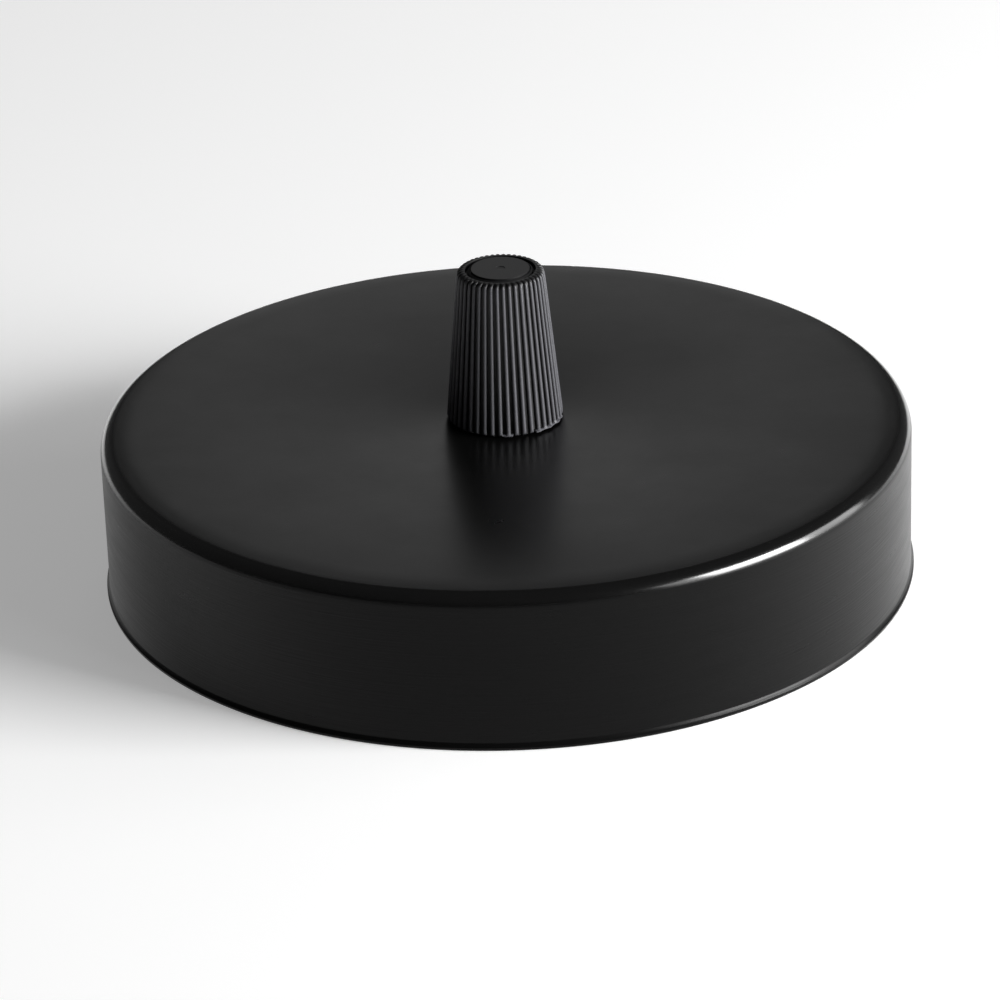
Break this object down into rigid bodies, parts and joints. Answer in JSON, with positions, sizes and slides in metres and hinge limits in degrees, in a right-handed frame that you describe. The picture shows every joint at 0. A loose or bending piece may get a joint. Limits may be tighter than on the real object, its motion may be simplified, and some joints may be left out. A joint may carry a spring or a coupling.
{
  "type": "light fixture ceiling canopy",
  "caption": "Round black steel ceiling canopy with a ribbed plastic cord grip on its face and a slotted strap inside that fixes it to the ceiling.",
  "frame": {"origin": "centre of the open rim, in the plane that meets the ceiling", "axes": "+Z along the turning axis, from the ceiling side to the cord grip; +X along the ceiling strap, towards its earth screw"},
  "size_m": [0.1008, 0.1008, 0.0396],
  "materials": {
    "black_paint": "satin black paint",
    "black_nylon": "moulded black nylon, slightly shiny on the ribs",
    "zinc_steel": "zinc plated",
    "brass": "plain brass"
  },
  "bodies": {
    "canopy": {"canopy_cup": "black_paint", "threaded_tube": "zinc_steel", "lock_nuts": "zinc_steel", "tooth_washers": "zinc_steel", "ceiling_strap": "zinc_steel", "earth_washer": "brass", "earth_screw": "brass"},
    "sleeve": {"clamp_sleeve": "black_nylon"},
    "cap": {"grip_cap": "black_nylon"}
  },
  "joints": [
    {"name": "sleeve_lift", "type": "slide", "parent": "canopy", "child": "sleeve", "axis": [0, 0, 1], "range_m": [0, 0.002]},
    {"name": "cap_turn", "type": "hinge", "parent": "sleeve", "child": "cap", "pos_m": [0, 0, 0.03], "axis": [0, 0, 1], "range_deg": [0, 720]}
  ],
  "couplings": [
    {"joint": "cap_turn", "follows": "sleeve_lift", "rad_per_m": 6283.2}
  ]
}
